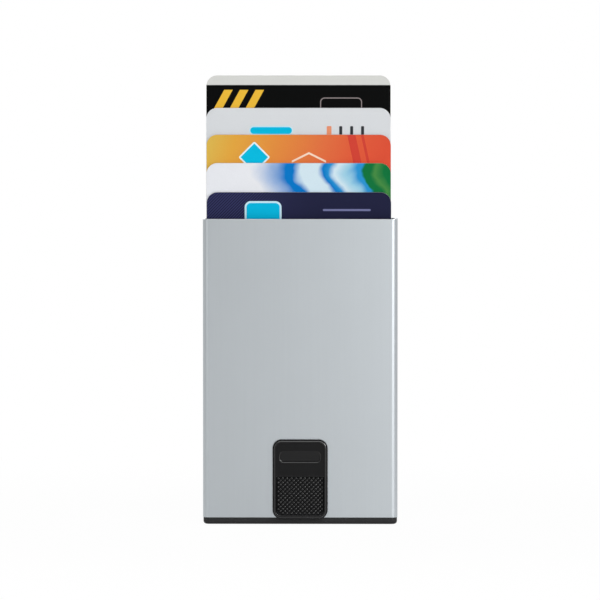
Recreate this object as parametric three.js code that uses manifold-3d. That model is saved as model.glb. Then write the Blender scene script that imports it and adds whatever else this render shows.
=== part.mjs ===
import * as THREE from 'three';
import { mergeVertices } from 'three/addons/utils/BufferGeometryUtils.js';
import Module from 'manifold-3d';

const wasm = await Module();
wasm.setup();

// Card holder: an aluminium sleeve with a thumb slide on its front and five cards fanned out of its mouth.
// The slide turns a hidden lever, whose arms push each card up by a different height.
// Millimetres. X is to the right, Y to the back, Z up; the origin is under the middle of the base.

// Bank cards of the common size
const cardWidth = 54;
const cardHeight = 85.6;
const cardThick = 0.76;
const cardCorner = 3.18;
const cardGap = 0.2;
// How far each card stands above its stowed place, from the front card to the rear one
const cardRise = [7.6, 16.1, 24.4, 32.2, 41.7];
// How far each card lies to the side of the bay's middle, in the same order
const cardShift = [-0.4, -0.5, -0.5, -0.6, -0.6];

// Sleeve
const wall = 0.8;
const baySideGap = 0.7;
const outerCorner = 1.9;
const mouthChamfer = 0.2;
// A stowed card shows this much above the mouth.
const cardShow = 0.1;

// Base
const baseLip = 2.0;
const lipInset = 0.12;
const lipEdge = 0.9;
const baseFloor = 0.9;
const ringWall = 0.6;
const stowedBottom = 4.0;
const earWidth = 9;
const earTop = 12.2;
const tongueWidth = 8;
const tongueOffset = 12;
const tongueTop = 13;
const postCorner = 1.2;

// Thumb slide
const slideTravel = 14;
const buttonWidth = 16.1;
const buttonHeight = 23.3;
const buttonThick = 1.3;
const buttonBottom = 1.6;
const buttonCorner = 2.6;
const buttonBevel = 0.8;
const rimWidth = 1.0;
const fieldDepth = 0.25;
const gripHeight = 11.5;
const gripTopCorner = 0.4;
const gripDepth = 0.3;
const thumbWidth = 12.0;
const thumbHeight = 3.4;
const thumbCorner = 1.0;
const thumbDepth = 0.7;
const thumbTopMargin = 3.3;
const neckWidth = 6.8;
const neckHeight = 4.5;
const neckBottom = 4.4;
const neckCorner = 1.0;
const carriageThick = 0.9;
const carriageHeight = 14.8;
const carriageCorner = 2.0;
const windowWidth = 9.2;
const windowHeight = 4.2;
const springSeatWidth = 4.4;
const springSeatHeight = 3.0;

// Lever
const pivotHeight = 8;
const plateThick = 1.0;
const hubRadius = 3.3;
const slotLand = 2.4;
const armHeight = 2.45;
const armTipRadius = 0.9;

// Pins, screws, rivets and spring
const pinRadius = 1.0;
const pinHeadRadius = 1.6;
const pinHeadThick = 0.4;
const screwRadius = 0.5;
const screwHeadRadius = 0.95;
const screwHeadThick = 0.45;
const screwOffset = 1.9;
const screwBite = 0.4;
const rivetRadius = 0.6;
const rivetLength = 2.6;
const springWire = 0.3;
const springRadius = 0.8;
const springLength = 28;
const springTurns = 18;

// Linings
const linerTopGap = 1.2;
const linerLead = 1.0;
const feltThick = 0.6;
const feltWidth = 8;
const feltOffset = 17;
const feltTopGap = 3.5;
const feltBottom = 16;
const feltCorner = 2;

// Clearances
const fit = 0.1;
const running = 0.15;
const layerGap = 0.2;
const seat = 0.3;

// Sizes that follow from those above
const cardCount = cardRise.length;
const cardPitch = cardThick + cardGap;
const stackThick = cardCount * cardThick + (cardCount - 1) * cardGap;
const mechanismDepth = fit + carriageThick + layerGap + plateThick;
const bayWidth = cardWidth + 2 * baySideGap;
const bayDepth = mechanismDepth + seat + stackThick + seat + feltThick;
const sleeveWidth = bayWidth + 2 * wall;
const sleeveDepth = bayDepth + 2 * wall;
const bodyHeight = stowedBottom + cardHeight - cardShow;
const innerCorner = outerCorner - wall;
const frontOutside = -sleeveDepth / 2;
const frontInside = -bayDepth / 2;
const backInside = bayDepth / 2;
const carriageFront = frontInside + fit;
const carriageBack = carriageFront + carriageThick;
const plateFront = carriageBack + layerGap;
const plateBack = plateFront + plateThick;
const cardFront = (k) => plateBack + seat + k * cardPitch;
const stackBack = cardFront(0) + stackThick;
const armTop = stowedBottom - seat;
const armBottom = armTop - armHeight;
const buttonBack = frontOutside - layerGap;
const buttonFront = buttonBack - buttonThick;
const neckTop = neckBottom + neckHeight;
const screwHeight = (neckBottom + neckTop) / 2;
const slotWidth = neckWidth + 2 * layerGap;
const slotTop = neckTop + slideTravel + seat;
const carriageBottom = neckBottom - layerGap;
const carriageTop = carriageBottom + carriageHeight;
const springBottom = carriageTop + fit;
const springY = (frontInside + plateBack) / 2;

// The pivot stands in the left ear, and the longest arm reaches across the bay from there.
const pivotX = -bayWidth / 2 + innerCorner + earWidth / 2;
const longestArm = bayWidth / 2 - fit - ringWall - seat - armTipRadius - pivotX;
// The swing is what the rear card's rise asks of that arm, which hangs below the pivot.
const armHang = pivotHeight - armTop + armTipRadius;
const armSlant = Math.atan2(armHang, longestArm);
const rearRise = cardRise[cardCount - 1] - armHang;
const leverSwing = armSlant + Math.asin(rearRise / Math.hypot(longestArm, armHang));
// Each other arm is as long as its own card's rise asks for.
const armLength = (k) => (cardRise[k] - armHang * (1 - Math.cos(leverSwing))) / Math.sin(leverSwing);
const armReach = (k) => armLength(k) + armTipRadius;
// The slide carries the drive pin at the distance where a rim of that radius turns as the slide rises.
const pinArm = slideTravel / leverSwing;
const pinX = pivotX + pinArm;
const carriageHalf = Math.abs(pinX) + slotLand;
const linerBottom = pivotHeight + slideTravel + slotLand + 5 * seat;
const pocketTop = carriageTop + slideTravel + 3 * seat;
const rivetHeight = (armTop + armBottom) / 2;
const rivetPlaces = { left: pivotX + 1.6, right: pivotX + armReach(0) - 1.8 };

function toSolid(geometry) {
  const plain = geometry.index ? geometry.toNonIndexed() : geometry.clone();
  plain.deleteAttribute('normal');
  plain.deleteAttribute('uv');
  const welded = mergeVertices(plain, 1e-4);
  const mesh = new wasm.Mesh({
    numProp: 3,
    vertProperties: new Float32Array(welded.attributes.position.array),
    triVerts: new Uint32Array(welded.index.array),
  });
  return new wasm.Manifold(mesh);
}

function toGeometry(solid) {
  const mesh = solid.getMesh();
  const geometry = new THREE.BufferGeometry();
  geometry.setAttribute('position', new THREE.BufferAttribute(mesh.vertProperties, 3));
  geometry.setIndex(new THREE.BufferAttribute(mesh.triVerts, 1));
  const flat = geometry.toNonIndexed();
  flat.computeVertexNormals();
  return flat;
}

function join(...solids) {
  return solids.reduce((whole, piece) => whole.add(piece));
}

function cut(solid, ...tools) {
  return tools.reduce((whole, tool) => whole.subtract(tool), solid);
}

function block(x0, x1, y0, y1, z0, z1) {
  const geometry = new THREE.BoxGeometry(x1 - x0, y1 - y0, z1 - z0);
  geometry.translate((x0 + x1) / 2, (y0 + y1) / 2, (z0 + z1) / 2);
  return toSolid(geometry);
}

// A rounded rectangle between two corners; its upper corners can have a radius of their own
function roundedRect(x0, y0, x1, y1, radius, upper = radius) {
  const path = new THREE.Shape();
  path.absarc(x1 - upper, y1 - upper, upper, 0, Math.PI / 2);
  path.absarc(x0 + upper, y1 - upper, upper, Math.PI / 2, Math.PI);
  path.absarc(x0 + radius, y0 + radius, radius, Math.PI, 1.5 * Math.PI);
  path.absarc(x1 - radius, y0 + radius, radius, 1.5 * Math.PI, 2 * Math.PI);
  return path;
}

function centredRect(width, depth, radius) {
  return roundedRect(-width / 2, -depth / 2, width / 2, depth / 2, radius);
}

// A rounded post of a given width, seen from the front
function postView(x, width, bottom, top) {
  return roundedRect(x - width / 2, bottom, x + width / 2, top, postCorner);
}

function edged(size, segments) {
  return {
    bevelEnabled: size > 0,
    bevelSize: size,
    bevelThickness: size,
    bevelOffset: -size,
    bevelSegments: segments,
  };
}

// A plan drawn in X and Y, raised from bottom to top; its top and bottom edges can be rounded
function raise(plan, bottom, top, edge = 0, segments = 1) {
  const geometry = new THREE.ExtrudeGeometry(plan, {
    depth: top - bottom - 2 * edge,
    curveSegments: 6,
    ...edged(edge, segments),
  });
  geometry.translate(0, 0, bottom + edge);
  return toSolid(geometry);
}

// A front view drawn in X and Z, carried from front to back; its front and back edges can be rounded
function carry(view, front, back, edge = 0, segments = 1) {
  const geometry = new THREE.ExtrudeGeometry(view, {
    depth: back - front - 2 * edge,
    curveSegments: 6,
    ...edged(edge, segments),
  });
  geometry.rotateX(Math.PI / 2);
  geometry.translate(0, back - edge, 0);
  return toSolid(geometry);
}

// A round bar along Y, straight or tapered
function bar(x, z, front, back, frontRadius, backRadius = frontRadius) {
  const geometry = new THREE.CylinderGeometry(backRadius, frontRadius, back - front, 20);
  geometry.translate(x, (front + back) / 2, z);
  return toSolid(geometry);
}

// A front view of even width around a line of points, with round ends
function ribbon(points, halfWidth) {
  const capSteps = 8;
  const last = points.length - 1;
  const outline = [];
  const heading = (i) => {
    const before = points[Math.max(i - 1, 0)];
    const after = points[Math.min(i + 1, last)];
    return Math.atan2(after.y - before.y, after.x - before.x);
  };
  const mark = (i, turn) => {
    const angle = heading(i) + turn;
    outline.push(new THREE.Vector2(
      points[i].x + halfWidth * Math.cos(angle),
      points[i].y + halfWidth * Math.sin(angle),
    ));
  };
  for (let i = 0; i < last; i++) mark(i, -Math.PI / 2);
  for (let s = 0; s <= capSteps; s++) mark(last, -Math.PI / 2 + (Math.PI * s) / capSteps);
  for (let i = last - 1; i > 0; i--) mark(i, Math.PI / 2);
  for (let s = 0; s < capSteps; s++) mark(0, Math.PI / 2 + (Math.PI * s) / capSteps);
  return new THREE.Shape(outline);
}

// Sleeve: an extruded tube, chamfered at the mouth and slotted at the foot of its front wall
function sleeve() {
  const section = centredRect(sleeveWidth, sleeveDepth, outerCorner);
  section.holes.push(centredRect(bayWidth, bayDepth, innerCorner));
  const tube = raise(section, 0, bodyHeight, mouthChamfer);
  const half = slotWidth / 2;
  const slot = carry(roundedRect(-half, 0, half, slotTop, neckCorner), frontOutside - 1, carriageBack);
  const foot = block(-sleeveWidth, sleeveWidth, -sleeveDepth, sleeveDepth, -1, baseLip);
  return cut(tube, slot, foot);
}

// Base: a rounded lip below the sleeve, a hollow plug inside it and the posts that rise from the plug
function baseCap() {
  const inset = 2 * lipInset;
  const lipPlan = centredRect(sleeveWidth - inset, sleeveDepth - inset, outerCorner - lipInset);
  const over = block(-sleeveWidth, sleeveWidth, -sleeveDepth, sleeveDepth, baseLip, 3 * baseLip);
  const lip = cut(raise(lipPlan, 0, 2 * baseLip, lipEdge, 4), over);
  const plugWidth = bayWidth - 2 * fit;
  const plugDepth = bayDepth - 2 * fit;
  const plug = raise(centredRect(plugWidth, plugDepth, innerCorner - fit), baseFloor, armTop);
  const hollow = centredRect(plugWidth - 2 * ringWall, plugDepth - 2 * ringWall, seat);
  const trough = raise(hollow, baseFloor, armTop + 1);
  const slotFoot = block(
    -neckWidth / 2, neckWidth / 2,
    frontOutside + fit, carriageFront + ringWall,
    baseFloor, neckBottom - seat,
  );
  const ears = [pivotX, -pivotX].map((x) => {
    return carry(postView(x, earWidth, baseFloor, earTop), carriageFront, carriageBack);
  });
  const tongues = [-tongueOffset, tongueOffset].map((x) => {
    const back = backInside - fit;
    return carry(postView(x, tongueWidth, baseFloor, tongueTop), back - ringWall, back);
  });
  // The first three cards rest on a ledge beyond the ends of their arms.
  const ledge = block(
    pivotX + armReach(2) + 1, cardWidth / 2 - cardCorner,
    cardFront(0), cardFront(2) + cardThick,
    baseFloor / 2, stowedBottom - fit,
  );
  const bore = bar(pivotX, pivotHeight, carriageFront - 1, carriageBack + 1, pinRadius + fit);
  return cut(join(cut(join(lip, plug), trough), slotFoot, ledge, ...ears, ...tongues), bore);
}

// Liner: fills the front of the bay above the lever, with room for the carriage and a channel for the spring
function frontLiner() {
  const half = bayWidth / 2 - innerCorner;
  const top = bodyHeight - linerTopGap;
  const slab = carry(roundedRect(-half, linerBottom, half, top, neckCorner), frontInside, plateBack);
  const lead = new THREE.BoxGeometry(bayWidth, 2 * linerLead, 2 * linerLead);
  lead.rotateX(Math.PI / 4);
  lead.translate(0, plateBack, top + (Math.SQRT2 - 1) * linerLead);
  const pocketHalf = carriageHalf + seat;
  const pocketView = roundedRect(-pocketHalf, linerBottom - 3, pocketHalf, pocketTop, neckCorner);
  const channelHalf = springRadius + springWire / 2 + seat;
  const channelTop = springBottom + springLength + fit;
  const channelView = roundedRect(-channelHalf, pocketTop - 1, channelHalf, channelTop, seat);
  const pocket = carry(pocketView, frontInside - 1, plateBack + 1);
  const channel = carry(channelView, frontInside - 1, plateBack + 1);
  return cut(slab, toSolid(lead), pocket, channel);
}

// Button: a rimmed pad with a thumb recess, a grip field and a neck that passes through the slot
function slideButton() {
  const half = buttonWidth / 2;
  const top = buttonBottom + buttonHeight;
  const padView = roundedRect(-half, buttonBottom, half, top, buttonCorner);
  const behind = block(-buttonWidth, buttonWidth, buttonBack, 0, 0, 2 * buttonHeight);
  const pad = cut(carry(padView, buttonFront, buttonBack + 2 * buttonBevel, buttonBevel, 4), behind);
  const inner = half - rimWidth;
  const fieldFoot = buttonBottom + rimWidth;
  const fieldCorner = buttonCorner - rimWidth;
  const fieldView = roundedRect(-inner, fieldFoot, inner, top - rimWidth, fieldCorner);
  const field = carry(fieldView, buttonFront - 1, buttonFront + fieldDepth);
  // The thumb recess has a floor that slopes in from the field at its top to its full depth at its foot.
  const thumbTop = top - thumbTopMargin;
  const thumbFoot = thumbTop - thumbHeight;
  const thumbHalf = thumbWidth / 2;
  const thumbView = roundedRect(-thumbHalf, thumbFoot, thumbHalf, thumbTop + thumbCorner, thumbCorner);
  const thumbFloor = new THREE.BoxGeometry(buttonWidth, 2 * buttonThick, 2 * buttonHeight);
  thumbFloor.translate(0, buttonThick, 0);
  thumbFloor.rotateX(Math.atan2(thumbDepth - fieldDepth, thumbHeight));
  thumbFloor.translate(0, buttonFront + thumbDepth, thumbFoot);
  const thumb = cut(carry(thumbView, buttonFront - 1, buttonBack), toSolid(thumbFloor));
  const gripTop = fieldFoot + gripHeight;
  const gripView = roundedRect(-inner, fieldFoot, inner, gripTop, fieldCorner, gripTopCorner);
  const grip = carry(gripView, buttonFront - 1, buttonFront + fieldDepth + gripDepth);
  const neckView = roundedRect(-neckWidth / 2, neckBottom, neckWidth / 2, neckTop, neckCorner);
  const neck = carry(neckView, buttonBack - fit, carriageFront);
  const holes = [-screwOffset, screwOffset].map((x) => {
    return bar(x, screwHeight, buttonBack - screwBite - fit, carriageFront + 1, screwRadius + fit);
  });
  return cut(join(cut(pad, field, thumb, grip), neck), ...holes);
}

// Carriage: the slide's inner half, with a bore for the drive pin and a seat for the spring
function slideCarriage() {
  const view = roundedRect(-carriageHalf, carriageBottom, carriageHalf, carriageTop, carriageCorner);
  const plate = carry(view, carriageFront, carriageBack);
  const seatHalf = springSeatWidth / 2;
  const seatView = roundedRect(-seatHalf, carriageTop - springSeatHeight, seatHalf, carriageTop, seat);
  const springSeat = carry(seatView, carriageFront, plateBack - fit);
  const windowHalf = windowWidth / 2;
  const windowFoot = neckTop + 4 * seat;
  const windowView = roundedRect(-windowHalf, windowFoot, windowHalf, windowFoot + windowHeight, neckCorner);
  const window = carry(windowView, carriageFront - 1, carriageBack + fit);
  const bore = bar(pinX, pivotHeight, carriageFront - 1, carriageBack + 1, pinRadius + fit);
  const holes = [-screwOffset, screwOffset].flatMap((x) => {
    const shoulder = carriageBack - screwHeadThick;
    const shank = bar(x, screwHeight, carriageFront - 1, carriageBack + 1, screwRadius + fit);
    const wide = screwHeadRadius + running;
    const sink = bar(x, screwHeight, shoulder, carriageBack, screwRadius + running, wide);
    return [shank, sink];
  });
  return cut(join(plate, springSeat), window, bore, ...holes);
}

// A flat-headed screw that holds the carriage to the neck
function carriageScrew(x) {
  const shoulder = carriageBack - screwHeadThick;
  const shank = bar(x, screwHeight, buttonBack - screwBite, carriageBack - fit, screwRadius);
  return join(shank, bar(x, screwHeight, shoulder, carriageBack, screwRadius, screwHeadRadius));
}

function drivePin() {
  return bar(pinX, pivotHeight, carriageFront, plateBack - fit, pinRadius);
}

// Pivot: a headed pin in the base's left ear, its head sunk in the lever
function pivotPin() {
  const tail = plateBack - fit;
  const shaft = bar(pivotX, pivotHeight, carriageFront, tail, pinRadius);
  return join(shaft, bar(pivotX, pivotHeight, tail - pinHeadThick, tail, pinHeadRadius));
}

// The drive pin's path as the lever sees it: an unwinding curve, so that slide and lever keep one ratio.
// Its points are evenly spaced, because the curve's length grows with the square of the turn.
function pinPath() {
  const steps = 7;
  const path = [];
  for (let i = 0; i <= steps; i++) {
    const turn = leverSwing * Math.sqrt(i / steps);
    const along = pinArm * (Math.cos(turn) + turn * Math.sin(turn));
    const across = pinArm * (turn * Math.cos(turn) - Math.sin(turn));
    path.push(new THREE.Vector2(pivotX + along, pivotHeight + across));
  }
  return path;
}

// Lever: a plate on the pivot, with the curved slot for the drive pin and a flange that carries the arms
function leverPlate() {
  const path = pinPath();
  const start = path[0];
  const end = path[path.length - 1];
  const web = new THREE.Shape([
    new THREE.Vector2(pivotX - hubRadius, pivotHeight),
    new THREE.Vector2(pivotX, armBottom),
    new THREE.Vector2(end.x + slotLand / 2, armBottom),
    new THREE.Vector2(end.x + slotLand, end.y),
    new THREE.Vector2(start.x, start.y + slotLand),
    new THREE.Vector2(pivotX, pivotHeight + hubRadius),
  ]);
  const hub = bar(pivotX, pivotHeight, plateFront, plateBack, hubRadius);
  const land = carry(ribbon(path, slotLand), plateFront, plateBack);
  const through = [plateFront - 1, plateBack + 1];
  const slot = carry(ribbon(path, pinRadius + running), ...through);
  const windowView = roundedRect(
    pivotX + hubRadius + 1.2, pivotHeight - hubRadius + 1,
    start.x - slotLand, pivotHeight + 1,
    neckCorner,
  );
  const bore = bar(pivotX, pivotHeight, ...through, pinRadius + running);
  const headSink = plateBack - fit - pinHeadThick - running;
  const sink = bar(pivotX, pivotHeight, headSink, plateBack + 1, pinHeadRadius + running);
  const holes = Object.values(rivetPlaces).map((x) => bar(x, rivetHeight, ...through, rivetRadius + fit));
  const under = block(-sleeveWidth, sleeveWidth, ...through, -baseLip, armBottom);
  const plate = join(carry(web, plateFront, plateBack), hub, land);
  return cut(plate, under, slot, carry(windowView, ...through), bore, sink, ...holes);
}

// Pusher: one arm under each card, side by side, the rear one the longest
function steppedPusher() {
  const arms = cardRise.map((rise, k) => {
    const tipX = pivotX + armLength(k);
    const view = new THREE.Shape();
    view.moveTo(pivotX, armBottom);
    view.lineTo(tipX + armTipRadius, armBottom);
    view.absarc(tipX, armTop - armTipRadius, armTipRadius, 0, Math.PI / 2);
    view.lineTo(pivotX, armTop);
    view.closePath();
    const front = k === 0 ? plateBack : cardFront(k) - cardGap / 4;
    return carry(view, front, stackBack + cardGap / 4);
  });
  const holes = Object.values(rivetPlaces).map((x) => {
    return bar(x, rivetHeight, plateBack - 1, plateFront + rivetLength + fit, rivetRadius + fit);
  });
  return cut(join(...arms), ...holes);
}

function pusherRivet(x) {
  return bar(x, rivetHeight, plateFront, plateFront + rivetLength, rivetRadius);
}

// Return spring: one unbroken helix of round wire between the carriage and the end of the liner's channel
class Helix extends THREE.Curve {
  getPoint(t, target = new THREE.Vector3()) {
    const turn = 2 * Math.PI * springTurns * t;
    const z = springBottom + springWire / 2 + (springLength - springWire) * t;
    return target.set(springRadius * Math.cos(turn), springY + springRadius * Math.sin(turn), z);
  }
}

function returnSpring() {
  const steps = 8 * springTurns;
  const helix = new Helix();
  const places = helix.getPoints(steps);
  let least = Infinity;
  places.forEach((place, i) => {
    places.slice(i + 6).forEach((other) => {
      least = Math.min(least, place.distanceTo(other) - springWire);
    });
  });
  console.log('return_spring: least gap between its own curls', least.toFixed(2), 'mm');
  const corners = [0, 1, 2, 3, 4].map((i) => {
    const angle = (2 * Math.PI * i) / 5;
    return new THREE.Vector2(Math.cos(angle), Math.sin(angle)).multiplyScalar(springWire / 2);
  });
  const wire = new THREE.Shape(corners);
  return toSolid(new THREE.ExtrudeGeometry(wire, { steps, extrudePath: helix, bevelEnabled: false }));
}

function feltStrip(x) {
  const half = feltWidth / 2;
  const view = roundedRect(x - half, feltBottom, x + half, bodyHeight - feltTopGap, feltCorner);
  return carry(view, backInside - feltThick, backInside);
}

function card() {
  const half = cardWidth / 2;
  return carry(roundedRect(-half, 0, half, cardHeight, cardCorner), 0, cardThick);
}

const aluminium = { color: 0xb8bcc0, roughness: 0.42, metalness: 1.0 };
const blackPlastic = { color: 0x232325, roughness: 0.5, metalness: 0.0 };
const whitePlastic = { color: 0xd9d8d2, roughness: 0.55, metalness: 0.0 };
const steel = { color: 0xa9adb0, roughness: 0.3, metalness: 1.0 };
const felt = { color: 0x3a3a3d, roughness: 0.95, metalness: 0.0 };
const cardColours = [0x252644, 0x8fb9d6, 0xe69a3f, 0xe2e5e8, 0x141414];

const holder = new THREE.Group();
holder.name = 'card_holder';

function place(name, solid, finish, position = [0, 0, 0]) {
  const mesh = new THREE.Mesh(toGeometry(solid), new THREE.MeshStandardMaterial(finish));
  mesh.name = name;
  mesh.position.set(...position);
  holder.add(mesh);
}

place('sleeve', sleeve(), aluminium);
place('base_cap', baseCap(), blackPlastic);
place('front_liner', frontLiner(), blackPlastic);
place('slide_button', slideButton(), blackPlastic);
place('slide_carriage', slideCarriage(), blackPlastic);
place('carriage_screw_left', carriageScrew(-screwOffset), steel);
place('carriage_screw_right', carriageScrew(screwOffset), steel);
place('drive_pin', drivePin(), steel);
place('pivot_pin', pivotPin(), steel);
place('lever_plate', leverPlate(), steel);
place('stepped_pusher', steppedPusher(), whitePlastic);
Object.entries(rivetPlaces).forEach(([side, x]) => place(`pusher_rivet_${side}`, pusherRivet(x), steel));
place('return_spring', returnSpring(), steel);
place('felt_strip_left', feltStrip(-feltOffset), felt);
place('felt_strip_right', feltStrip(feltOffset), felt);
const cardSolid = card();
cardRise.forEach((rise, k) => {
  const finish = { color: cardColours[k], roughness: 0.4, metalness: 0.0 };
  place(`card_${k + 1}`, cardSolid, finish, [cardShift[k], cardFront(k), stowedBottom + rise]);
});

export default holder;
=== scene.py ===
import math

import bmesh
import bpy
from mathutils import Matrix, Vector


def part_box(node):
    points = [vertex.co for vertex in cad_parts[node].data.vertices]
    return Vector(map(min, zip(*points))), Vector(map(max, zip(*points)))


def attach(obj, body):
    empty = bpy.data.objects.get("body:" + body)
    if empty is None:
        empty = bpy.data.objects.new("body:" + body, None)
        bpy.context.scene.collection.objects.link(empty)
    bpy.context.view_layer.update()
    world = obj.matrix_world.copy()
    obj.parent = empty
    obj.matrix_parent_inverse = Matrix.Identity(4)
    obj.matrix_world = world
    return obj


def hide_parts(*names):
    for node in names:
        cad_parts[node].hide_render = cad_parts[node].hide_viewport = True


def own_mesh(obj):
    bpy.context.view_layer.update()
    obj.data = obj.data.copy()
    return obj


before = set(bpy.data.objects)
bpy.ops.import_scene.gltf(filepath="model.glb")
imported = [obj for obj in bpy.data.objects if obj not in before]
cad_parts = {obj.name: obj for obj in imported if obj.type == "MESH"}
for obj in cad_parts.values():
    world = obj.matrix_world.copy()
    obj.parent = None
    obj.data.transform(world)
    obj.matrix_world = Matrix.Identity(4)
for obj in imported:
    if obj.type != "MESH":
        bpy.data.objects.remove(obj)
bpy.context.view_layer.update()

# Looks of an aluminium card holder: sleeve, black base, thumb slide and five fanned cards.
# Lengths are in millimetres, unless a comment says otherwise, and MM turns them into metres.
# Angles are in degrees. A name that ends in STEPS says how many faces a rounding has.
MM = 0.001

# Points nearer than TINY, in metres, count as one. SLACK is room for rounding in a comparison.
TINY = 1e-6
SLACK = 0.01
# How far a tool solid reaches into its neighbour, or out past the surface that it cuts.
OVERLAP = 0.1
OVERSHOOT = 1.0
# Faces that turn by less are joined, edges that turn by more stay sharp.
FLAT_ANGLE = 0.5
SHARP_ANGLE = 32
# A direction follows an axis when the cosine of the angle between them is larger.
ALIGNED = 0.99

SLEEVE_CORNER = 1.9
SLEEVE_CORNER_STEPS = 14
SLEEVE_WALL = 0.8
SLOT_HALF_WIDTH = 3.6
SLOT_TOP = 23.2
SLOT_CORNER = 1.0
SLOT_CORNER_STEPS = 8
SLOT_ROUND = 0.12
SLOT_STEPS = 2
MOUTH_ROUND = 0.2
MOUTH_STEPS = 3

PAD_CORNER = 2.6
PAD_CORNER_STEPS = 12
PAD_ROUND = 0.8
PAD_STEPS = 8
PAD_THICK = 1.3
RIM_WIDTH = 1.0
RIM_ROUND = 0.15
RIM_STEPS = 4
FIELD_DEPTH = 0.25
RECESS_CORNER_STEPS = 8
THUMB_HALF_WIDTH = 5.72
THUMB_BOTTOM = 18.5
THUMB_TOP = 21.1
THUMB_DEPTH = 0.8
THUMB_FOOT_DEPTH = 0.7
THUMB_CORNER = 0.9
THUMB_ROUND = 0.5
THUMB_STEPS = 5
RAMP_SINK = 0.01
GRIP_TOP = 14.1
GRIP_TOP_CORNER = 0.4
GRIP_DEPTH = 0.55
GRIP_ROUND = 0.12
GRIP_STEPS = 2
LIP_ANGLE = 25
NECK_HALF_WIDTH = 3.4
NECK_BOTTOM = 4.4
NECK_TOP = 8.9
NECK_CORNER = 1.0
NECK_CORNER_STEPS = 6
SCREW_OFFSET = 1.9
SCREW_HOLE = 0.6
SCREW_HOLE_LENGTH = 3.0
SCREW_HOLE_INSET = 0.3
SCREW_HOLE_SIDES = 20
# The pad's finishes in the order of its material slots, and the cosines that tell them apart.
GLOSS, SATIN, MATT, THUMBED = range(4)
PAD_LEVEL = 0.98
PAD_FLANK = 0.8
THUMB_SLOPE = 0.1
# The pad's sides are painted paler between these heights, towards the foot, up to so many times
# over: painted light from below.
PAINTED_LIGHT_TOP = 4.4
PAINTED_LIGHT_FOOT = 2.0
PAINTED_LIGHT_GAIN = 3.2

STUD_PITCH = 1.285
STUD_RADIUS = 0.46
STUD_HEIGHT = 0.24
STUD_SINK = 0.02
STUD_RINGS = 3
STUD_SIDES = 10

CARD_WIDTH = 54.0
CARD_HEIGHT = 85.6
CARD_CORNER = 3.18
CARD_CORNER_STEPS = 16
CARD_EDGE = 0.05
CARD_EDGE_STEPS = 2
# A card's finishes in the order of its material slots, and the cosine that tells them apart.
CARD_FRONT, CARD_REAR, CARD_SIDE = range(3)
CARD_FACE = 0.6
PRINT_EDGE = 0.05
CHIP_U = -3.0
CHIP_V = 69.6

SPRING_RADIUS = 0.8
SPRING_WIRE = 0.15
SPRING_SIDES = 8
SPRING_TURNS = 18
SPRING_TURN_STEPS = 20

FELT_CORNER = 2.0
FELT_CORNER_STEPS = 6
FELT_ROUND = 0.15
FELT_STEPS = 2

CAMERA_AZIMUTH = 0.8
CAMERA_ELEVATION = 3.05
CAMERA_AIM = (-0.11, 0, 65.54)
CAMERA_DISTANCE = 2000
CAMERA_SENSOR = 36
CAMERA_LENS = 409.3
CAMERA_CLIP = (10, 50000)

FLOOR_HALF = 6000
FLOOR_DROP = 0.02
# The floor's brightness, where 1 is white: seen near the holder, and mirrored in metal.
FLOOR_NEAR = 0.97
FLOOR_MIRRORED = 0.4
# Each pair is where a change of brightness starts and where it is complete.
FLOOR_AWAY = (60, 260)
PATCH_LEFT = (-40, 60)
PATCH_RIGHT = (100, 260)
PATCH_REAR = (20, -40)
# The same for the room, by how far a heading points to the rear, from -1 to 1.
ROOM_REAR = (-0.6, 0.4)


def tone(red, green, blue):
    """A colour from its screen values, 0 to 255, as a shader takes it."""
    def linear(part):
        part /= 255
        return part / 12.92 if part <= 0.04045 else ((part + 0.055) / 1.055) ** 2.4
    return (linear(red), linear(green), linear(blue), 1.0)


class Value:
    """A number in a node tree; arithmetic on it adds Math nodes."""

    def __init__(self, finish, socket):
        self.finish = finish
        self.socket = socket

    def math(self, operation, *terms):
        made = self.finish.node("ShaderNodeMath", {"operation": operation}, dict(enumerate(terms)))
        return Value(self.finish, made.outputs[0])

    def __add__(self, other):
        return self.math("ADD", self, other)

    def __sub__(self, other):
        return self.math("SUBTRACT", self, other)

    def __rsub__(self, other):
        return self.math("SUBTRACT", other, self)

    def __mul__(self, other):
        return self.math("MULTIPLY", self, other)

    def __truediv__(self, other):
        return self.math("DIVIDE", self, other)

    def __abs__(self):
        return self.math("ABSOLUTE", self)

    __radd__ = __add__
    __rmul__ = __mul__

    def most(self, other):
        return self.math("MAXIMUM", self, other)

    def least(self, other):
        return self.math("MINIMUM", self, other)

    def root(self):
        return self.math("SQRT", self)

    def sine(self):
        return self.math("SINE", self)

    def fraction(self):
        return self.math("FRACT", self)

    def fade(self, start, end):
        """0 at start, 1 at end, soft between; start may be the larger."""
        made = self.finish.node(
            "ShaderNodeMapRange",
            {"interpolation_type": "SMOOTHSTEP"},
            {"Value": self, "From Min": start, "From Max": end},
        )
        return Value(self.finish, made.outputs[0])


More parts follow.
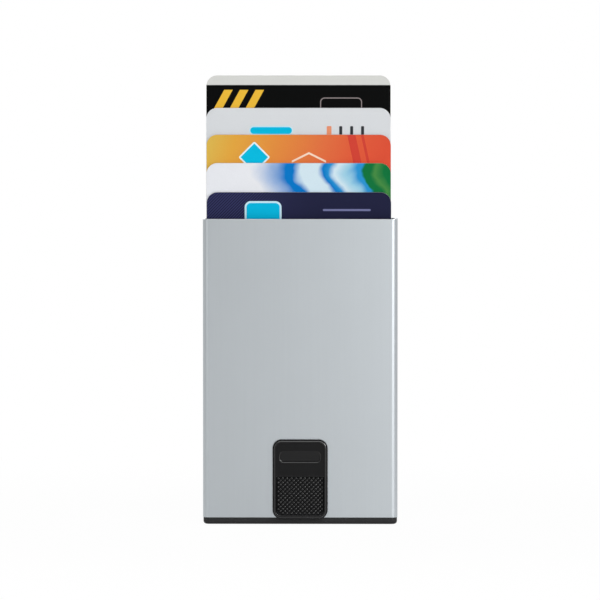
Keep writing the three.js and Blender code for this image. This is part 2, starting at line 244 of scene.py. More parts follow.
class Finish:
    """A procedural material, or the world, built node by node."""

    def __init__(self, name, **constants):
        self.material = bpy.data.materials.new(name)
        self.material.use_nodes = True
        self.tree = self.material.node_tree
        self.shader = self.tree.nodes["Principled BSDF"]
        self.set(**constants)

    def set(self, **sockets):
        """Values or links of the shader's own sockets, named with underscores for spaces."""
        for name, value in sockets.items():
            self.feed(self.shader.inputs[name.replace("_", " ")], value)

    def feed(self, socket, value):
        if isinstance(value, Value):
            value = value.socket
        if isinstance(value, bpy.types.NodeSocket):
            self.tree.links.new(value, socket)
        else:
            socket.default_value = value

    def node(self, kind, settings=None, sockets=None):
        made = self.tree.nodes.new(kind)
        for name, value in (settings or {}).items():
            if name == "stops":
                ramp = made.color_ramp.elements
                while len(ramp) < len(value):
                    ramp.new(0.5)
                for element, (place, colour) in zip(ramp, value):
                    element.position = place
                    element.color = colour
            else:
                setattr(made, name, value)
        for key, value in (sockets or {}).items():
            self.feed(made.inputs[key], value)
        return made

    def place(self, origin=(0, 0, 0), scale=(1, 1, 1)):
        """The point on the piece in millimetres from an origin, stretched by scale."""
        coordinates = self.node("ShaderNodeTexCoord").outputs["Object"]
        made = self.node("ShaderNodeMapping", {"vector_type": "POINT"}, {
            "Vector": coordinates,
            "Location": [-o * s for o, s in zip(origin, scale)],
            "Scale": [s / MM for s in scale],
        })
        return made.outputs[0]

    def axes(self, origin=(0, 0, 0)):
        """The point's three coordinates in millimetres from an origin."""
        made = self.node("ShaderNodeSeparateXYZ", None, {0: self.place(origin)})
        return [Value(self, out) for out in made.outputs]

    def noise(self, size, detail=2.0, scale=(1, 1, 1), rough=0.5):
        """Soft noise about 0.5, with features of a size in millimetres."""
        made = self.node("ShaderNodeTexNoise", None, {
            "Vector": self.place(scale=scale),
            "Scale": 1 / size,
            "Detail": detail,
            "Roughness": rough,
        })
        return Value(self, made.outputs[0])

    def blend(self, factor, under, over):
        made = self.node("ShaderNodeMix", {"data_type": "RGBA"}, {0: factor, 6: under, 7: over})
        return made.outputs[2]

    def shade(self, colour, amount):
        """A colour made lighter or darker by a number about 1."""
        joined = self.node("ShaderNodeCombineXYZ", None, {0: amount, 1: amount, 2: amount})
        made = self.node(
            "ShaderNodeMix",
            {"data_type": "RGBA", "blend_type": "MULTIPLY"},
            {0: 1.0, 6: colour, 7: joined.outputs[0]},
        )
        return made.outputs[2]

    def ramp(self, factor, stops):
        return self.node("ShaderNodeValToRGB", {"stops": stops}, {0: factor}).outputs[0]

    def bump(self, height, depth):
        """Surface relief: height from 0 to 1, depth in millimetres."""
        made = self.node("ShaderNodeBump", None, {
            "Strength": 1.0,
            "Distance": depth * MM,
            "Height": height,
        })
        self.set(Normal=made.outputs[0])


# Finishes of the holder


def satin_aluminium():
    """Bead-blasted and anodised: fine grain, with faint draw lines along the tube."""
    made = Finish("satin_aluminium", Metallic=1.0)
    grain = made.noise(size=0.1, detail=3.0)
    draw_lines = made.noise(size=0.5, scale=(1, 1, 0.012))
    cloud = made.noise(size=14)
    level = 0.95 + 0.03 * draw_lines + 0.03 * cloud + 0.05 * grain
    made.set(
        Base_Color=made.shade(tone(196, 202, 206), level),
        Roughness=0.27 + 0.02 * draw_lines + 0.04 * grain,
    )
    made.bump(grain, depth=0.003)
    return made


def bright_aluminium():
    """The polished chamfer round the mouth."""
    made = Finish("bright_aluminium", Metallic=1.0)
    scratches = made.noise(size=0.25, scale=(1, 1, 0.2))
    made.set(
        Base_Color=made.shade(tone(184, 188, 192), 0.94 + 0.12 * scratches),
        Roughness=0.26 + 0.1 * scratches,
    )
    return made


def moulded_plastic(name, colour, rough, grain_depth, specular=0.3, painted_light=None):
    """Moulded plastic with a spark-eroded grain; its last argument gives the heights between which
    it is painted paler, as painted light.
    """
    made = Finish(name, Specular_IOR_Level=specular)
    grain = made.noise(size=0.12, detail=3.0)
    cloud = made.noise(size=5)
    level = 0.85 + 0.2 * cloud + 0.1 * grain
    # Painted light: the colour grows paler towards the foot, between the given heights.
    if painted_light:
        height = made.axes()[2]
        level = level * (1 + PAINTED_LIGHT_GAIN * height.fade(*painted_light))
    made.set(
        Base_Color=made.shade(colour, level),
        Roughness=rough + 0.08 * grain + 0.05 * cloud,
    )
    made.bump(grain, grain_depth)
    return made


def ground_steel():
    """Steel with fine grinding strokes from side to side."""
    made = Finish("ground_steel", Metallic=1.0)
    strokes = made.noise(size=0.2, scale=(0.05, 1, 1))
    made.set(
        Base_Color=made.shade(tone(188, 190, 192), 0.9 + 0.2 * strokes),
        Roughness=0.24 + 0.14 * strokes,
    )
    return made


def grey_felt():
    """Felt with upright fibres and soft tufts."""
    made = Finish("grey_felt", Specular_IOR_Level=0.1, Sheen_Weight=0.3)
    fibres = made.noise(size=0.09, detail=4.0, scale=(1, 1, 0.35), rough=0.7)
    tufts = made.noise(size=0.6)
    made.set(
        Base_Color=made.shade(tone(64, 64, 67), 0.6 + 0.5 * fibres + 0.3 * tufts),
        Roughness=0.85 + 0.15 * fibres,
    )
    made.bump(fibres + tufts, depth=0.05)
    return made


# Finishes of the cards. On a card, u runs to the right from its middle, v down from its top edge.


class Print(Finish):
    """A laminated card's printed face."""

    def __init__(self, name, node):
        low, high = (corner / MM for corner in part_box(node))
        super().__init__(name, Roughness=0.36, Specular_IOR_Level=0.04)
        middle = (low + high) / 2
        x, _, z = self.axes((middle.x, middle.y, high.z))
        self.u = x
        self.v = 0 - z
        self.colour = None

    def ground(self, colour):
        """The colour that the rest is printed on."""
        self.colour = colour

    def lay(self, mask, colour):
        """Prints a colour over what is there, where the mask is 1."""
        self.colour = self.blend(mask, self.colour, colour)

    def pill(self, u, v, half_width, half_height, corner, turn=0.0):
        """Distance outside a rounded bar, in millimetres; negative inside."""
        across, down = self.u - u, self.v - v
        if turn:
            cos, sin = math.cos(math.radians(turn)), math.sin(math.radians(turn))
            across, down = across * cos + down * sin, down * cos - across * sin
        out_u = (abs(across) - (half_width - corner)).most(0.0)
        out_v = (abs(down) - (half_height - corner)).most(0.0)
        return (out_u * out_u + out_v * out_v).root() - corner

    def inside(self, distance, edge=0.0):
        """1 inside an outline, 0 outside, with a thin soft edge."""
        return distance.fade(edge + PRINT_EDGE, edge - PRINT_EDGE)

    def stripe(self, across, half_width):
        """1 in a stripe about across = 0."""
        return self.inside(abs(across) - half_width)

    def chip(self):
        """A gold contact pad with its dividing lines."""
        across, down = abs(self.u - CHIP_U), abs(self.v - CHIP_V)
        pad = self.pill(CHIP_U, CHIP_V, half_width=5.5, half_height=6.0, corner=1.6)
        island = abs(self.pill(CHIP_U, CHIP_V, half_width=1.9, half_height=3.0, corner=0.8))
        beside = across.fade(2.0, 1.8)
        rows = abs(down - 2.0) + beside
        middle = down + beside
        lines = self.inside(island.least(rows).least(middle), 0.12)
        gold = self.inside(pad)
        self.lay(gold, self.blend(lines, tone(214, 176, 104), tone(120, 92, 48)))
        self.set(Metallic=gold * 0.9)

    def finish(self):
        """Puts the print under a laminate with slight specks and waves."""
        speck = self.noise(size=0.35)
        self.set(Base_Color=self.shade(self.colour, 0.975 + 0.05 * speck))
        self.bump(self.noise(size=1.5), depth=0.004)
        return self


def navy_print():
    """Navy with a fading pinstripe, a square badge and a thin rule."""
    card = Print("navy_print", "card_1")
    card.ground(tone(33, 35, 62))
    pinstripe = abs(((card.u + card.v) / 0.86).fraction() - 0.5).fade(0.16, 0.3)
    card.lay(pinstripe * (card.u.fade(8, -22) * 0.8 + 0.1), tone(56, 58, 102))
    badge = card.pill(-10.5, 8.0, half_width=5.4, half_height=5.4, corner=1.8)
    card.lay(card.inside(badge), tone(206, 240, 252))
    card.lay(card.inside(badge, -0.55), tone(4, 190, 232))
    rule = card.pill(14.0, 5.2, half_width=7.0, half_height=0.3, corner=0.3)
    card.lay(card.inside(rule), tone(120, 124, 168))
    card.chip()
    return card.finish()


def wave_print():
    """White, blue and green bands that wander like water."""
    card = Print("wave_print", "card_2")
    wobble = 2.0 * (card.v * 0.42 + 0.5).sine() + 4.0 * card.noise(size=5.5)
    along = (card.u + wobble + 25.0) / CARD_WIDTH
    white, haze = tone(238, 240, 245), tone(168, 192, 228)
    sky, deep, foam = tone(44, 150, 214), tone(6, 122, 204), tone(216, 236, 246)
    leaf, meadow = tone(18, 118, 62), tone(74, 142, 70)
    card.ground(card.ramp(along, [
        (0.0, white), (0.28, white), (0.38, haze), (0.46, deep), (0.5, deep),
        (0.545, foam), (0.64, foam), (0.67, deep), (0.705, sky), (0.74, foam),
        (0.8, tone(160, 212, 234)), (0.85, sky), (0.868, sky), (0.88, leaf), (0.92, leaf),
        (0.95, meadow), (1.0, leaf),
    ]))
    return card.finish()


def orange_print():
    """Yellow to red, with two slanted stripes, a chevron and a lozenge."""
    card = Print("orange_print", "card_3")
    along = (card.u + 0.3 * card.v + CARD_WIDTH / 2) / CARD_WIDTH
    card.ground(card.ramp(along, [
        (0.0, tone(224, 190, 86)), (0.16, tone(232, 170, 68)), (0.4, tone(232, 144, 66)),
        (0.64, tone(230, 116, 68)), (0.82, tone(229, 95, 62)), (1.0, tone(225, 84, 58)),
    ]))
    slanted = card.u - 0.22 * card.v
    for middle, half_width in ((15.4, 1.2), (18.6, 0.4)):
        card.lay(card.stripe(slanted - middle, half_width), tone(214, 70, 56))
    aside = abs(card.u - 3.0)
    chevron = card.inside(abs(aside * 0.5 + 5.4 - card.v), 0.3) * aside.fade(5.05, 4.95)
    card.lay(chevron, tone(250, 222, 200))
    lozenge = card.pill(-13.0, 6.6, half_width=3.3, half_height=3.3, corner=0.5, turn=45)
    card.lay(card.inside(lozenge), tone(232, 246, 250))
    card.lay(card.inside(lozenge, -0.45), tone(6, 192, 230))
    card.chip()
    return card.finish()


def pale_print():
    """Pale grey, with a blue bar and four short ticks."""
    card = Print("pale_print", "card_4")
    down = card.v / CARD_HEIGHT
    card.ground(card.ramp(down, [(0.0, tone(221, 224, 227)), (1.0, tone(204, 208, 214))]))
    bar = card.pill(-8.0, 6.6, half_width=6.4, half_height=1.3, corner=1.3)
    card.lay(card.inside(bar), tone(196, 236, 246))
    card.lay(card.inside(bar, -0.3), tone(4, 190, 230))
    orange, grey = tone(236, 150, 112), tone(52, 54, 58)
    ticks = ((9.0, 0.7, orange), (12.4, 0.45, grey), (15.6, 0.45, grey), (18.8, 0.45, grey))
    for u, half_width, colour in ticks:
        card.lay(card.inside(card.pill(u, 6.6, half_width, half_height=1.3, corner=0.3)), colour)
    return card.finish()


def black_print():
    """Black under a pale top band, with three yellow slants and an empty frame."""
    card = Print("black_print", "card_5")
    card.ground(tone(7, 8, 8))
    slanted = card.u + 0.55 * card.v
    for middle in (-18.2, -13.6, -9.0):
        card.lay(card.stripe(slanted - middle, 1.25) * card.v.fade(4.15, 4.25), tone(240, 190, 62))
    frame_line = abs(card.pill(12.5, 9.6, half_width=6.0, half_height=3.0, corner=1.2))
    card.lay(card.inside(frame_line, 0.14), tone(150, 140, 140))
    card.lay(card.v.fade(2.85, 2.75), tone(219, 220, 216))
    card.chip()
    return card.finish()


def card_back(name, node, colour):
    """A card's rear face, with a stripe along one long side and a pale signing panel."""
    card = Print(name, node)
    card.ground(colour)
    card.lay(card.stripe(card.u - 15.8, 6.35), tone(24, 23, 23))
    panel = card.inside(card.pill(1.0, 42.0, half_width=4.5, half_height=30.0, corner=0.4))
    weave = abs(((card.u - card.v) / 0.9).fraction() - 0.5).fade(0.2, 0.3)
    card.lay(panel, card.blend(weave, tone(232, 232, 226), tone(214, 218, 220)))
    return card.finish()


def card_core():
    """The white plastic seen at a card's edge, with its laminate lines."""
    made = Finish("card_core", Roughness=0.5, Specular_IOR_Level=0.25)
    streak = made.noise(size=0.2, scale=(0.2, 1, 0.2))
    made.set(Base_Color=made.shade(tone(222, 223, 222), 0.92 + 0.12 * streak))
    return made


# Meshes


def block(low, high):
    """A box between two corners, in millimetres."""
    low, high = Vector(low), Vector(high)
    size = high - low
    shape = Matrix.Translation((low + high) / 2 * MM) @ Matrix.Diagonal((*(size * MM), 1.0))
    bm = bmesh.new()
    bmesh.ops.create_cube(bm, size=1.0, matrix=shape)
    return bm


def round_off(bm, edges, radius, steps):
    """Rounds edges to a radius in millimetres."""
    bmesh.ops.bevel(
        bm, geom=edges, offset=radius * MM, offset_type="OFFSET", segments=steps,
        profile=0.5, affect="EDGES", material=-1, clamp_overlap=False,
    )


def edges_along(bm, axis):
    """The edges that run along an axis, 0 to 2."""
    found = []
    for edge in bm.edges:
        start, end = (v.co for v in edge.verts)
        if abs((start - end).normalized()[axis]) > ALIGNED:
            found.append(edge)
    return found


def plate(low, high, corner, steps, upper=None):
    """A plate that faces front, with rounded corners; the upper two can have their own radius."""
    bm = block(low, high)
    middle = (low[2] + high[2]) / 2 * MM
    uprights = {True: [], False: []}
    for edge in edges_along(bm, 1):
        uprights[edge.verts[0].co.z > middle].append(edge)
    round_off(bm, uprights[False], corner, steps)
    round_off(bm, uprights[True], corner if upper is None else upper, steps)
    return bm


def facing(bm, axis, sign):
    """The faces that look along an axis, or against it with a sign of -1."""
    return [f for f in bm.faces if f.normal[axis] * sign > ALIGNED]


def face_edges(faces):
    return [e for f in faces for e in f.edges]


def simplify(bm):
    """Joins points that coincide and faces that lie in one plane."""
    bmesh.ops.remove_doubles(bm, verts=bm.verts, dist=TINY)
    bmesh.ops.dissolve_limit(
        bm, angle_limit=math.radians(FLAT_ANGLE), verts=bm.verts, edges=bm.edges,
    )


def to_mesh(bm, name):
    """Turns a bmesh into a mesh and frees it."""
    mesh = bpy.data.meshes.new(name)
    bm.to_mesh(mesh)
    bm.free()
    return mesh


def carve(bm, tools):
    """Joins or cuts other solids into a solid, and gives the result back."""
    held = [bpy.data.objects.new("carve_body", to_mesh(bm, "carve_body"))]
    for tool, operation in tools:
        cutter = bpy.data.objects.new("carve_tool", to_mesh(tool, "carve_tool"))
        step = held[0].modifiers.new("carve", "BOOLEAN")
        step.object = cutter
        step.operation = operation
        step.solver = "EXACT"
        held.append(cutter)
    for solid in held:
        bpy.context.scene.collection.objects.link(solid)
    bpy.context.view_layer.update()
    depsgraph = bpy.context.evaluated_depsgraph_get()
    carved = bmesh.new()
    carved.from_mesh(bpy.data.meshes.new_from_object(held[0].evaluated_get(depsgraph)))
    for solid in held:
        bpy.data.objects.remove(solid)
    return carved


def piece(bm, name, body, finishes, stands_for=()):
    """Makes a bmesh a shown piece that rides on a body."""
    mesh = to_mesh(bm, name)
    for finish in finishes:
        mesh.materials.append(finish.material)
    mesh.shade_smooth()
    mesh.set_sharp_from_angle(angle=math.radians(SHARP_ANGLE))
    made = bpy.data.objects.new(name, mesh)
    bpy.context.scene.collection.objects.link(made)
    even = made.modifiers.new("even_shading", "WEIGHTED_NORMAL")
    even.keep_sharp = True
    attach(made, body)
    if stands_for:
        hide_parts(*stands_for)
    return made


def corners(node):
    """A CAD node's lowest and highest corners in millimetres."""
    low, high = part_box(node)
    return low / MM, high / MM


def make_sleeve(satin, bright):
    """The tube, open at both ends, with the slide's slot in its front and a bright mouth."""
    low, high = corners("sleeve")
    bm = block(low, high)
    round_off(bm, edges_along(bm, 2), SLEEVE_CORNER, SLEEVE_CORNER_STEPS)
    bmesh.ops.delete(bm, geom=facing(bm, 2, 1) + facing(bm, 2, -1), context="FACES")

    def part(faces, point, normal):
        geom = list(dict.fromkeys(g for f in faces for g in (f, *f.edges, *f.verts)))
        bmesh.ops.bisect_plane(bm, geom=geom, plane_co=Vector(point) * MM, plane_no=normal)

    def middle_front():
        return [f for f in facing(bm, 1, -1) if abs(f.calc_center_median().x) < MM]

    part(facing(bm, 1, -1), (-SLOT_HALF_WIDTH, 0, 0), (1, 0, 0))
    part(facing(bm, 1, -1), (SLOT_HALF_WIDTH, 0, 0), (1, 0, 0))
    part(middle_front(), (0, 0, SLOT_TOP), (0, 0, 1))
    gap = [f for f in middle_front() if f.calc_center_median().z < SLOT_TOP * MM]
    bmesh.ops.delete(bm, geom=gap, context="FACES")
    bmesh.ops.dissolve_faces(bm, faces=facing(bm, 1, -1))
    slot_corners = [
        v for v in bm.verts
        if abs(v.co.z - SLOT_TOP * MM) < TINY and abs(abs(v.co.x) - SLOT_HALF_WIDTH * MM) < TINY
    ]
    bmesh.ops.bevel(
        bm, geom=slot_corners, offset=SLOT_CORNER * MM, offset_type="OFFSET",
        segments=SLOT_CORNER_STEPS, profile=0.5, affect="VERTICES", material=-1,
    )
    bmesh.ops.recalc_face_normals(bm, faces=bm.faces)
    bmesh.ops.solidify(bm, geom=bm.faces[:], thickness=SLEEVE_WALL * MM)
    bmesh.ops.recalc_face_normals(bm, faces=bm.faces)

    def at_mouth(edge):
        level = all(abs(v.co.z - high.z * MM) < TINY for v in edge.verts)
        return level and sum(f.normal.z > ALIGNED for f in edge.link_faces) == 1

    def at_slot(edge):
        on_front = all(abs(v.co.y - low.y * MM) < TINY for v in edge.verts)
        within = all(abs(v.co.x) < (SLOT_HALF_WIDTH + SLACK) * MM for v in edge.verts)
        raised = any(v.co.z > (low.z + SLACK) * MM for v in edge.verts)
        lower = all(v.co.z < (SLOT_TOP + SLACK) * MM for v in edge.verts)
        return on_front and within and raised and lower

    round_off(bm, [e for e in bm.edges if at_mouth(e)], MOUTH_ROUND, MOUTH_STEPS)
    round_off(bm, [e for e in bm.edges if at_slot(e)], SLOT_ROUND, SLOT_STEPS)
    bright_from = (high.z - MOUTH_ROUND - 2 * SLACK) * MM
    for face in bm.faces:
        face.material_index = int(min(v.co.z for v in face.verts) > bright_from)
    piece(bm, "sleeve_tube", "holder", [satin, bright], ["sleeve"])


def make_base(plastic):
    """The base with its plug, posts and ears, on the CAD node's own outline."""
    bm = bmesh.new()
    bm.from_mesh(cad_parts["base_cap"].data)
    simplify(bm)
    piece(bm, "base_moulding", "holder", [plastic], ["base_cap"])


def make_pad(gloss, satin, matt, thumbed):
    """The thumb slide: a rimmed pad with a thumb recess, a grip field and a neck behind."""
    low, high = corners("slide_button")
    front = low.y
    back = front + PAD_THICK
    bm = plate(low, (high.x, back, high.z), PAD_CORNER, PAD_CORNER_STEPS)
    round_off(bm, face_edges(facing(bm, 1, -1)), PAD_ROUND, PAD_STEPS)

    def recess(half_width, bottom, top, depth, corner, upper=None):
        start = (-half_width, front - OVERSHOOT, bottom)
        end = (half_width, front + depth, top)
        return plate(start, end, corner, RECESS_CORNER_STEPS, upper)

    field_half = high.x - RIM_WIDTH
    field_foot = low.z + RIM_WIDTH
    field_corner = PAD_CORNER - RIM_WIDTH
    field = recess(field_half, field_foot, high.z - RIM_WIDTH, FIELD_DEPTH, field_corner)
    thumb = recess(THUMB_HALF_WIDTH, THUMB_BOTTOM, THUMB_TOP, THUMB_DEPTH, THUMB_CORNER)
    grip = recess(field_half, field_foot, GRIP_TOP, GRIP_DEPTH, field_corner, GRIP_TOP_CORNER)
    neck_low = (-NECK_HALF_WIDTH, back - OVERLAP, NECK_BOTTOM)
    neck_high = (NECK_HALF_WIDTH, high.y, NECK_TOP)
    neck = plate(neck_low, neck_high, NECK_CORNER, NECK_CORNER_STEPS)
    tools = [(field, "DIFFERENCE"), (thumb, "DIFFERENCE"), (grip, "DIFFERENCE"), (neck, "UNION")]
    neck_middle = (NECK_BOTTOM + NECK_TOP) / 2
    for side in (-1, 1):
        hole = bmesh.new()
        centre = Vector((side * SCREW_OFFSET, high.y - SCREW_HOLE_INSET, neck_middle)) * MM
        bmesh.ops.create_cone(
            hole, cap_ends=True, segments=SCREW_HOLE_SIDES,
            radius1=SCREW_HOLE * MM, radius2=SCREW_HOLE * MM, depth=SCREW_HOLE_LENGTH * MM,
            matrix=Matrix.Translation(centre) @ Matrix.Rotation(math.pi / 2, 4, "X"),
        )
        tools.append((hole, "DIFFERENCE"))
    bm = carve(bm, tools)
    simplify(bm)

    def lip(y, bottom, top):
        """The outward edges at a depth, between two heights."""
        found = []
        for edge in bm.edges:
            level = all(abs(v.co.y - y * MM) < 2 * TINY for v in edge.verts)
            within = all(bottom * MM < v.co.z < top * MM for v in edge.verts)
            if level and within and edge.is_convex:
                if edge.calc_face_angle() > math.radians(LIP_ANGLE):
                    found.append(edge)
        return found

    field_level = front + FIELD_DEPTH
    between = (GRIP_TOP + THUMB_BOTTOM) / 2
    round_off(bm, lip(front, low.z, high.z), RIM_ROUND, RIM_STEPS)
    round_off(bm, lip(field_level, between, high.z), THUMB_ROUND, THUMB_STEPS)
    round_off(bm, lip(field_level, low.z, between), GRIP_ROUND, GRIP_STEPS)

    # The thumb recess is filled again up to a floor that slopes in from the field to its foot.
    ramp_half = THUMB_HALF_WIDTH + 2 * THUMB_ROUND
    ramp_front = field_level + RAMP_SINK
    ramp_low = (-ramp_half, ramp_front, THUMB_BOTTOM - THUMB_ROUND)
    ramp_high = (ramp_half, front + THUMB_DEPTH + OVERLAP, THUMB_TOP + THUMB_ROUND)
    ramp = block(ramp_low, ramp_high)
    foot = [
        v for v in ramp.verts
        if v.co.y < (ramp_front + SLACK) * MM and v.co.z < THUMB_BOTTOM * MM
    ]
    bmesh.ops.translate(ramp, verts=foot, vec=(0, (THUMB_FOOT_DEPTH - FIELD_DEPTH) * MM, 0))
    bm = carve(bm, [(ramp, "UNION")])

    for face in bm.faces:
        level = face.normal.y < -PAD_LEVEL
        deep = face.calc_center_median().y > (front + GRIP_DEPTH - SLACK) * MM
        if level and face.normal.z < -THUMB_SLOPE:
            face.material_index = THUMBED
        elif face.normal.y > -PAD_FLANK or level and deep:
            face.material_index = MATT
        elif level:
            face.material_index = SATIN
        else:
            face.material_index = GLOSS
    finishes = [gloss, satin, matt, thumbed]
    piece(bm, "slide_pad", "slide", finishes, ["slide_button"])


def stud(bm, centre):
    """A low dome that stands out to the front."""
    bow = (STUD_RADIUS ** 2 + STUD_HEIGHT ** 2) / (2 * STUD_HEIGHT)
    widest = math.asin(STUD_RADIUS / bow)
    line = [Vector((0, STUD_SINK, 0)), Vector((STUD_RADIUS, STUD_SINK, 0))]
    for step in range(STUD_RINGS + 1):
        angle = widest * (1 - step / STUD_RINGS)
        line.append(Vector((bow * math.sin(angle), bow - STUD_HEIGHT - bow * math.cos(angle), 0)))
    points = [bm.verts.new((centre + place) * MM) for place in line]
    edges = [bm.edges.new(pair) for pair in zip(points, points[1:])]
    bmesh.ops.spin(
        bm, geom=points + edges, cent=centre * MM, axis=(0, 1, 0), angle=2 * math.pi,
        steps=STUD_SIDES, use_merge=True, use_duplicate=False,
    )


def make_knurl(plastic):
    """Studs on the grip field, in rows that are set over by half a pitch."""
    low, high = corners("slide_button")
    floor = low.y + GRIP_DEPTH
    corner = PAD_CORNER - RIM_WIDTH
    half_width = high.x - RIM_WIDTH
    half_height = (GRIP_TOP - low.z - RIM_WIDTH) / 2
    middle_z = GRIP_TOP - half_height
    step = STUD_PITCH / 2
    rows = int((half_height - STUD_RADIUS) / step)
    columns = int((half_width - STUD_RADIUS) / step)
    bm = bmesh.new()
    for row in range(-rows, rows + 1):
        for column in range(-columns, columns + 1):
            x, z = column * step, row * step
            past_side = max(abs(x) - half_width + corner, 0)
            past_foot = max(-z - half_height + corner, 0)
            inside = math.hypot(past_side, past_foot) < corner - STUD_RADIUS
            if inside and (row + column) % 2 == 0:
                stud(bm, Vector((x, floor, middle_z + z)))
    bmesh.ops.remove_doubles(bm, verts=bm.verts, dist=TINY)
    bmesh.ops.recalc_face_normals(bm, faces=bm.faces)
    piece(bm, "grip_studs", "slide", [plastic])


def make_card(number, body, face_print, back_print, core):
    low, high = corners(f"card_{number}")
    bm = plate(low, high, CARD_CORNER, CARD_CORNER_STEPS)
    round_off(bm, face_edges(facing(bm, 1, -1) + facing(bm, 1, 1)), CARD_EDGE, CARD_EDGE_STEPS)
    for face in bm.faces:
        if face.normal.y < -CARD_FACE:
            face.material_index = CARD_FRONT
        elif face.normal.y > CARD_FACE:
            face.material_index = CARD_REAR
        else:
            face.material_index = CARD_SIDE
    finishes = [face_print, back_print, core]
    piece(bm, f"printed_card_{number}", body, finishes, [f"card_{number}"])


def make_spring(steel):
    """The return spring, an even coil of wire as tall as the CAD node."""
    low, high = corners("return_spring")
    middle = (low + high) / 2
    bm = bmesh.new()
    start = Vector((middle.x + SPRING_RADIUS, middle.y, low.z + SPRING_WIRE)) * MM
    made = bmesh.ops.create_circle(
        bm, cap_ends=True, segments=SPRING_SIDES, radius=SPRING_WIRE * MM,
        matrix=Matrix.Translation(start) @ Matrix.Rotation(math.pi / 2, 4, "X"),
    )
    steps = SPRING_TURNS * SPRING_TURN_STEPS
    rise = (high.z - low.z - 2 * SPRING_WIRE) * MM
    disc = list(dict.fromkeys(g for v in made["verts"] for g in (v, *v.link_edges, *v.link_faces)))
    bmesh.ops.spin(
        bm, geom=disc, cent=middle * MM, axis=(0, 0, 1), dvec=(0, 0, rise / steps),
        angle=SPRING_TURNS * 2 * math.pi, steps=steps, use_merge=False, use_duplicate=False,
    )
    bmesh.ops.recalc_face_normals(bm, faces=bm.faces)
    spring = piece(bm, "coil_spring", "holder", [steel], ["return_spring"])
    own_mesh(spring)


def make_felt(side, felt):
    low, high = corners(f"felt_strip_{side}")
    bm = plate(low, high, FELT_CORNER, FELT_CORNER_STEPS)
    round_off(bm, face_edges(facing(bm, 1, -1)), FELT_ROUND, FELT_STEPS)
    strip = piece(bm, f"felt_lining_{side}", "holder", [felt], [f"felt_strip_{side}"])


# Camera, light and floor


def set_camera():
    """The view of the photograph."""
    azimuth, elevation = math.radians(CAMERA_AZIMUTH), math.radians(CAMERA_ELEVATION)
    aim = Vector(CAMERA_AIM) * MM
    back = Vector((
        math.sin(azimuth) * math.cos(elevation),
        -math.cos(azimuth) * math.cos(elevation),
        math.sin(elevation),
    ))
    data = bpy.data.cameras.new("camera")
    data.sensor_width = CAMERA_SENSOR
    data.lens = CAMERA_LENS
    data.clip_start, data.clip_end = (limit * MM for limit in CAMERA_CLIP)
    camera = bpy.data.objects.new("camera", data)
    camera.location = aim + back * (CAMERA_DISTANCE * MM)
    camera.rotation_euler = (-back).to_track_quat("-Z", "Y").to_euler()
    bpy.context.scene.collection.objects.link(camera)
    bpy.context.scene.camera = camera


def set_lamp(name, place, aim, width, height, brightness, gloss_only=False):
    """A soft box, placed in metres, whose face has a brightness, where 1 is white."""
    data = bpy.data.lights.new(name, "AREA")
    data.shape = "RECTANGLE"
    data.size, data.size_y = width, height
    data.energy = brightness * math.pi * width * height
    lamp = bpy.data.objects.new(name, data)
    lamp.location = place
    lamp.rotation_euler = (Vector(aim) - Vector(place)).to_track_quat("-Z", "Y").to_euler()
    # With gloss_only the lamp gives glints and no other light.
    lamp.visible_diffuse = not gloss_only
    bpy.context.scene.collection.objects.link(lamp)


def ray_kinds(finish):
    """1 for rays straight from the camera, and 1 for those by way of metal or glass."""
    path = finish.node("ShaderNodeLightPath")
    straight = Value(finish, path.outputs["Is Camera Ray"])
    mirrored = Value(finish, path.outputs["Is Glossy Ray"])
    through = Value(finish, path.outputs["Is Transmission Ray"])
    return straight, (mirrored + through).least(1.0)


class Studio(Finish):
    """The world: a white backdrop where it is seen, a dimmer room in front of it."""

    def __init__(self, light_level, room_level):
        world = bpy.data.worlds.new("studio")
        world.use_nodes = True
        bpy.context.scene.world = world
        self.tree = world.node_tree
        straight, mirrored = ray_kinds(self)
        heading = self.node("ShaderNodeTexCoord").outputs["Generated"]
        parts = self.node("ShaderNodeSeparateXYZ", None, {0: heading})
        behind = Value(self, parts.outputs[1]).fade(*ROOM_REAR)
        mirror_level = room_level + (1 - room_level) * behind
        background = self.tree.nodes["Background"]
        background.inputs["Color"].default_value = (1, 1, 1, 1)
        level = light_level + (1 - light_level) * straight + mirrored * (mirror_level - light_level)
        self.feed(background.inputs["Strength"], level)


def set_floor():
    """A pale floor that glows, so that it looks white and its reflections are even, apart from a
    painted pool of light at the front right.
    """
    bm = bmesh.new()
    drop = Matrix.Translation((0, 0, -FLOOR_DROP * MM))
    bmesh.ops.create_grid(bm, x_segments=1, y_segments=1, size=FLOOR_HALF * MM, matrix=drop)
    made = Finish(
        "pale_floor", Base_Color=tone(240, 240, 240), Roughness=0.9, Specular_IOR_Level=0.1,
    )
    x, y, _ = made.axes()
    away = (x * x + y * y).root().fade(*FLOOR_AWAY)
    # Painted light: seen in metal, the floor glows brighter in a patch at the front right, painted
    # where the key light would fall.
    painted_pool = x.fade(*PATCH_LEFT) * (1 - x.fade(*PATCH_RIGHT)) * y.fade(*PATCH_REAR)
    straight, mirrored = ray_kinds(made)
    seen = FLOOR_NEAR + (1 - FLOOR_NEAR) * away
    reflected = FLOOR_MIRRORED + (1 - FLOOR_MIRRORED) * painted_pool
    share = straight * seen + reflected * mirrored
    glow = made.node("ShaderNodeEmission", None, {"Color": (1, 1, 1, 1), "Strength": 1.0})
    mixed = made.node("ShaderNodeMixShader", None, {
        0: share,
        1: made.shader.outputs[0],
        2: glow.outputs[0],
    })
    output = made.tree.nodes["Material Output"]
    made.tree.links.new(mixed.outputs[0], output.inputs["Surface"])
    mesh = to_mesh(bm, "floor")
    mesh.materials.append(made.material)
    floor = bpy.data.objects.new("floor", mesh)
    bpy.context.scene.collection.objects.link(floor)


def paint(finish, *names):
    """Gives CAD nodes that stay shown their finish."""
    for name in names:
        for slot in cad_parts[name].material_slots:
            slot.material = finish.material


# The pieces

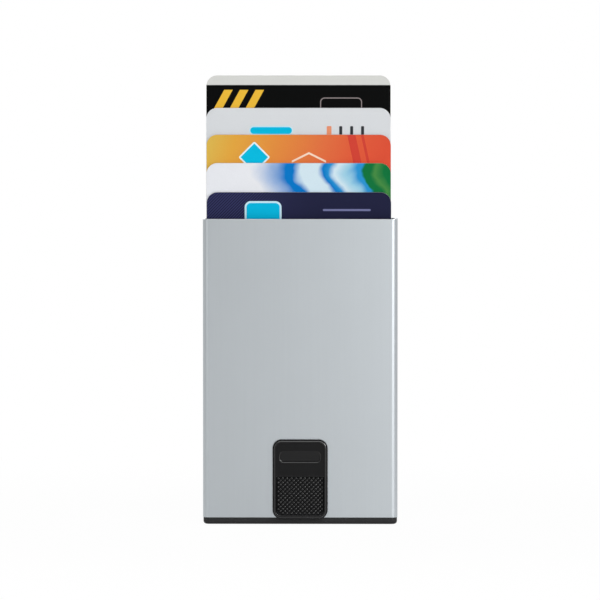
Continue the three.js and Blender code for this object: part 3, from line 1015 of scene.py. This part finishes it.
steel = ground_steel()
felt = grey_felt()
core = card_core()
matt_black = moulded_plastic("matt_black", tone(30, 30, 31), rough=0.55, grain_depth=0.01)
natural = moulded_plastic("natural_acetal", tone(214, 212, 204), rough=0.4, grain_depth=0.004)
base_black = moulded_plastic("base_black", tone(32, 32, 33), rough=0.42, grain_depth=0.008)
stud_black = moulded_plastic("stud_black", tone(12, 12, 13), rough=0.16, grain_depth=0.001)
rim_black = moulded_plastic(
    "rim_black", tone(14, 14, 15), rough=0.12, grain_depth=0.001, specular=0.68,
)
satin_black = moulded_plastic(
    "satin_black", tone(18, 18, 19), rough=0.4, grain_depth=0.01, specular=0.15,
)
# The slide's flanks are painted paler towards the foot, as painted light from below.
side_black = moulded_plastic(
    "side_black", tone(18, 18, 19), rough=0.6, grain_depth=0.01, specular=0.04,
    painted_light=(PAINTED_LIGHT_TOP, PAINTED_LIGHT_FOOT),
)
thumb_black = moulded_plastic(
    "thumb_black", tone(18, 18, 19), rough=0.32, grain_depth=0.005, specular=0.26,
)

make_sleeve(satin_aluminium(), bright_aluminium())
make_base(base_black)
make_pad(rim_black, satin_black, side_black, thumb_black)
make_knurl(stud_black)
CARDS = [
    ("first_card", "card_navy", navy_print, "navy_back", tone(44, 46, 78)),
    ("second_card", "card_blue_green", wave_print, "wave_back", tone(206, 222, 232)),
    ("third_card", "card_orange", orange_print, "orange_back", tone(232, 150, 84)),
    ("fourth_card", "card_pale_grey", pale_print, "pale_back", tone(214, 217, 221)),
    ("fifth_card", "card_black", black_print, "black_back", tone(58, 59, 62)),
]
for number, (body, slot, face_print, back_name, back_colour) in enumerate(CARDS, 1):
    back_print = card_back(back_name, f"card_{number}", back_colour)
    make_card(number, body, face_print(), back_print, core)
make_spring(steel)
paint(matt_black, "front_liner", "slide_carriage")
paint(natural, "stepped_pusher")
paint(steel, "lever_plate", "drive_pin", "pivot_pin")
for side in ("left", "right"):
    make_felt(side, felt)
    paint(steel, f"carriage_screw_{side}", f"pusher_rivet_{side}")

# The studio

set_camera()
set_lamp(
    "key", place=(0.2537, -0.4353, 0.14), aim=(-0.0563, -0.0453, 0.06),
    width=0.5, height=0.28, brightness=1.46,
)
set_lamp(
    "fill", place=(-0.5, -0.55, 0.2), aim=(0, 0, 0.07),
    width=0.5, height=0.5, brightness=0.5,
)
set_lamp(
    "overhead", place=(0.05, -0.55, 0.62), aim=(0, 0, 0.05),
    width=0.9, height=0.4, brightness=2.1,
)
set_lamp(
    "rear", place=(-0.3, 0.7, 0.4), aim=(0, 0, 0.06),
    width=0.7, height=0.5, brightness=1.4,
)
set_lamp(
    "glint", place=(0.66, -0.38, 0.48), aim=(0, 0, 0.014),
    width=0.14, height=0.44, brightness=25.0, gloss_only=True,
)
Studio(light_level=0.32, room_level=0.44)
set_floor()

bpy.context.scene.view_settings.view_transform = "Standard"
